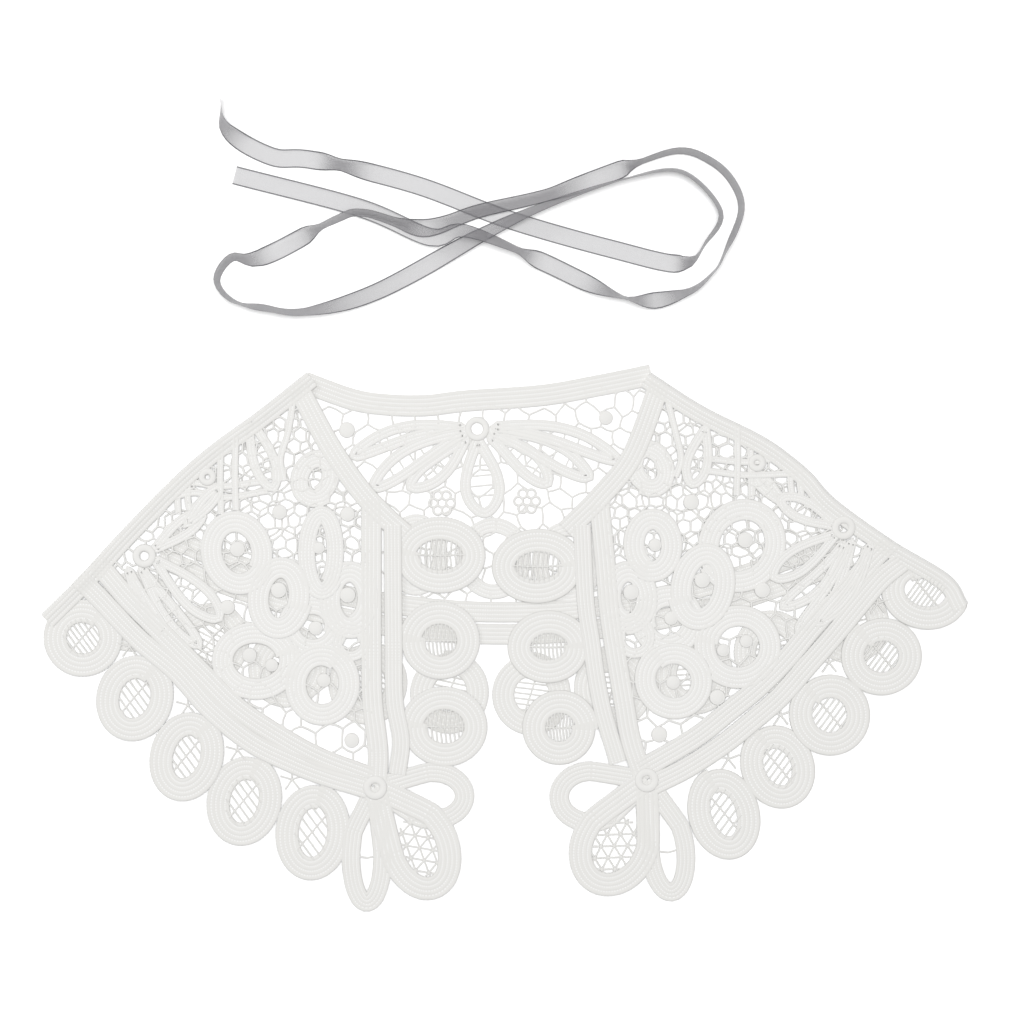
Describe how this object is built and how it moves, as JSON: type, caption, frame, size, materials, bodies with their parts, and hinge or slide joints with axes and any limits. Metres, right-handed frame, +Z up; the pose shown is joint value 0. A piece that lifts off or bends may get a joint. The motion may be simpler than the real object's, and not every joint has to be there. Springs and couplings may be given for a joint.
{
  "type": "lace collar",
  "caption": "Cape-shaped tape-lace collar laid flat, folded at the shoulders, with scalloped hem, open front and a loose sheer ribbon tie.",
  "frame": {"origin": "middle of the laid collar's box, on the surface it lies on; the loose ribbon is left out of that box", "axes": "+Z up from the surface, +Y towards the neck edge, +X to the right as seen from above with the neck edge away"},
  "size_m": [0.4998, 0.4385, 0.0053],
  "materials": {
    "lace_tape": "woven cotton tape, matt white, with raised edge cords",
    "lace_ground": "needle-made bars and nets in matt white cotton thread",
    "organza_ribbon": "sheer grey organza with a fine dark selvedge"
  },
  "bodies": {
    "root": {"back_hem_loop_1": "lace_tape", "back_hem_loop_10": "lace_tape", "back_hem_loop_11": "lace_tape", "back_hem_loop_2": "lace_tape", "back_hem_loop_3": "lace_tape", "back_hem_loop_4": "lace_tape", "back_hem_loop_5": "lace_tape", "back_hem_loop_6": "lace_tape", "back_hem_loop_7": "lace_tape", "back_hem_loop_8": "lace_tape", "back_hem_loop_9": "lace_tape", "back_panel": "lace_ground", "back_ring": "lace_tape", "corner_loop_large_left": "lace_tape", "corner_loop_large_right": "lace_tape", "corner_loop_small_left": "lace_tape", "corner_loop_small_right": "lace_tape", "corner_loop_upper_left": "lace_tape", "corner_loop_upper_right": "lace_tape", "corner_ring_left": "lace_tape", "corner_ring_right": "lace_tape", "front_band_left": "lace_tape", "front_band_right": "lace_tape", "front_ground_left": "lace_ground", "front_ground_right": "lace_ground", "front_loop_1_left": "lace_tape", "front_loop_1_right": "lace_tape", "front_loop_2_left": "lace_tape", "front_loop_2_right": "lace_tape", "front_loop_3_left": "lace_tape", "front_loop_3_right": "lace_tape", "front_panel_left": "lace_ground", "front_panel_right": "lace_ground", "hem_ground_back": "lace_ground", "hem_ground_left": "lace_ground", "hem_ground_right": "lace_ground", "hem_loop_1_left": "lace_tape", "hem_loop_1_right": "lace_tape", "hem_loop_2_left": "lace_tape", "hem_loop_2_right": "lace_tape", "hem_loop_3_left": "lace_tape", "hem_loop_3_right": "lace_tape", "hem_loop_4_left": "lace_tape", "hem_loop_4_right": "lace_tape", "hem_loop_5_left": "lace_tape", "hem_loop_5_right": "lace_tape", "lower_band_back": "lace_tape", "lower_band_left": "lace_tape", "lower_band_right": "lace_tape", "neck_band_back": "lace_tape", "neck_band_front_left": "lace_tape", "neck_band_front_right": "lace_tape", "ribbon_inner_loop": "organza_ribbon", "ribbon_lower_tail": "organza_ribbon", "ribbon_outer_loop": "organza_ribbon", "ribbon_upper_tail": "organza_ribbon", "shoulder_fold_left": "lace_tape", "shoulder_fold_right": "lace_tape"}
  },
  "joints": []
}
